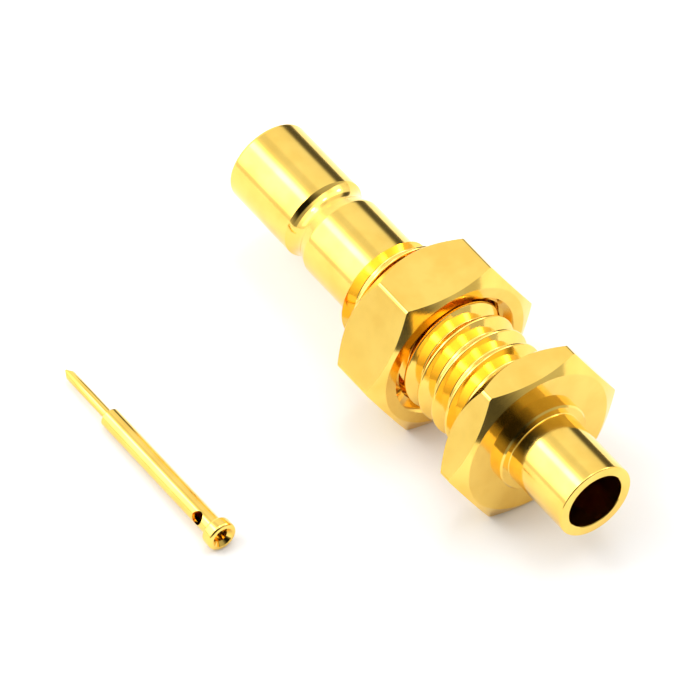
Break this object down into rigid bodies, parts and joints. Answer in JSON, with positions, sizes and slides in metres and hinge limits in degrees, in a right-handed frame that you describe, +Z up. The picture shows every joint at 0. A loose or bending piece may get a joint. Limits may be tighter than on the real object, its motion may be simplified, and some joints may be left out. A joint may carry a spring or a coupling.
{
  "type": "ssmb connector",
  "caption": "Miniature snap-fit coaxial bulkhead jack with hex flange, panel nut and cable tube, its centre contact loose beside it.",
  "frame": {"origin": "on the connector's axis, at the hex flange's front face, which seats on the panel", "axes": "+X along the axis towards the mating end, -X towards the cable end, +Z up as it lies on flats of its flange and nut"},
  "size_m": [0.0156, 0.0115, 0.005],
  "materials": {
    "gold_plated_body": "bright gold plating on turned brass",
    "gold_plated_nut": "bright gold plating on turned brass",
    "ptfe": "turned PTFE",
    "gold_plated_contact": "bright gold plating on turned brass"
  },
  "bodies": {
    "connector": {"connector_body": "gold_plated_body", "insulator": "ptfe", "centre_contact": "gold_plated_contact"},
    "nut": {"hex_nut": "gold_plated_nut"}
  },
  "joints": [
    {"name": "nut_travel", "type": "slide", "parent": "connector", "child": "nut", "axis": [1, 0, 0], "range_m": [-0.00288, 0.0095]}
  ]
}
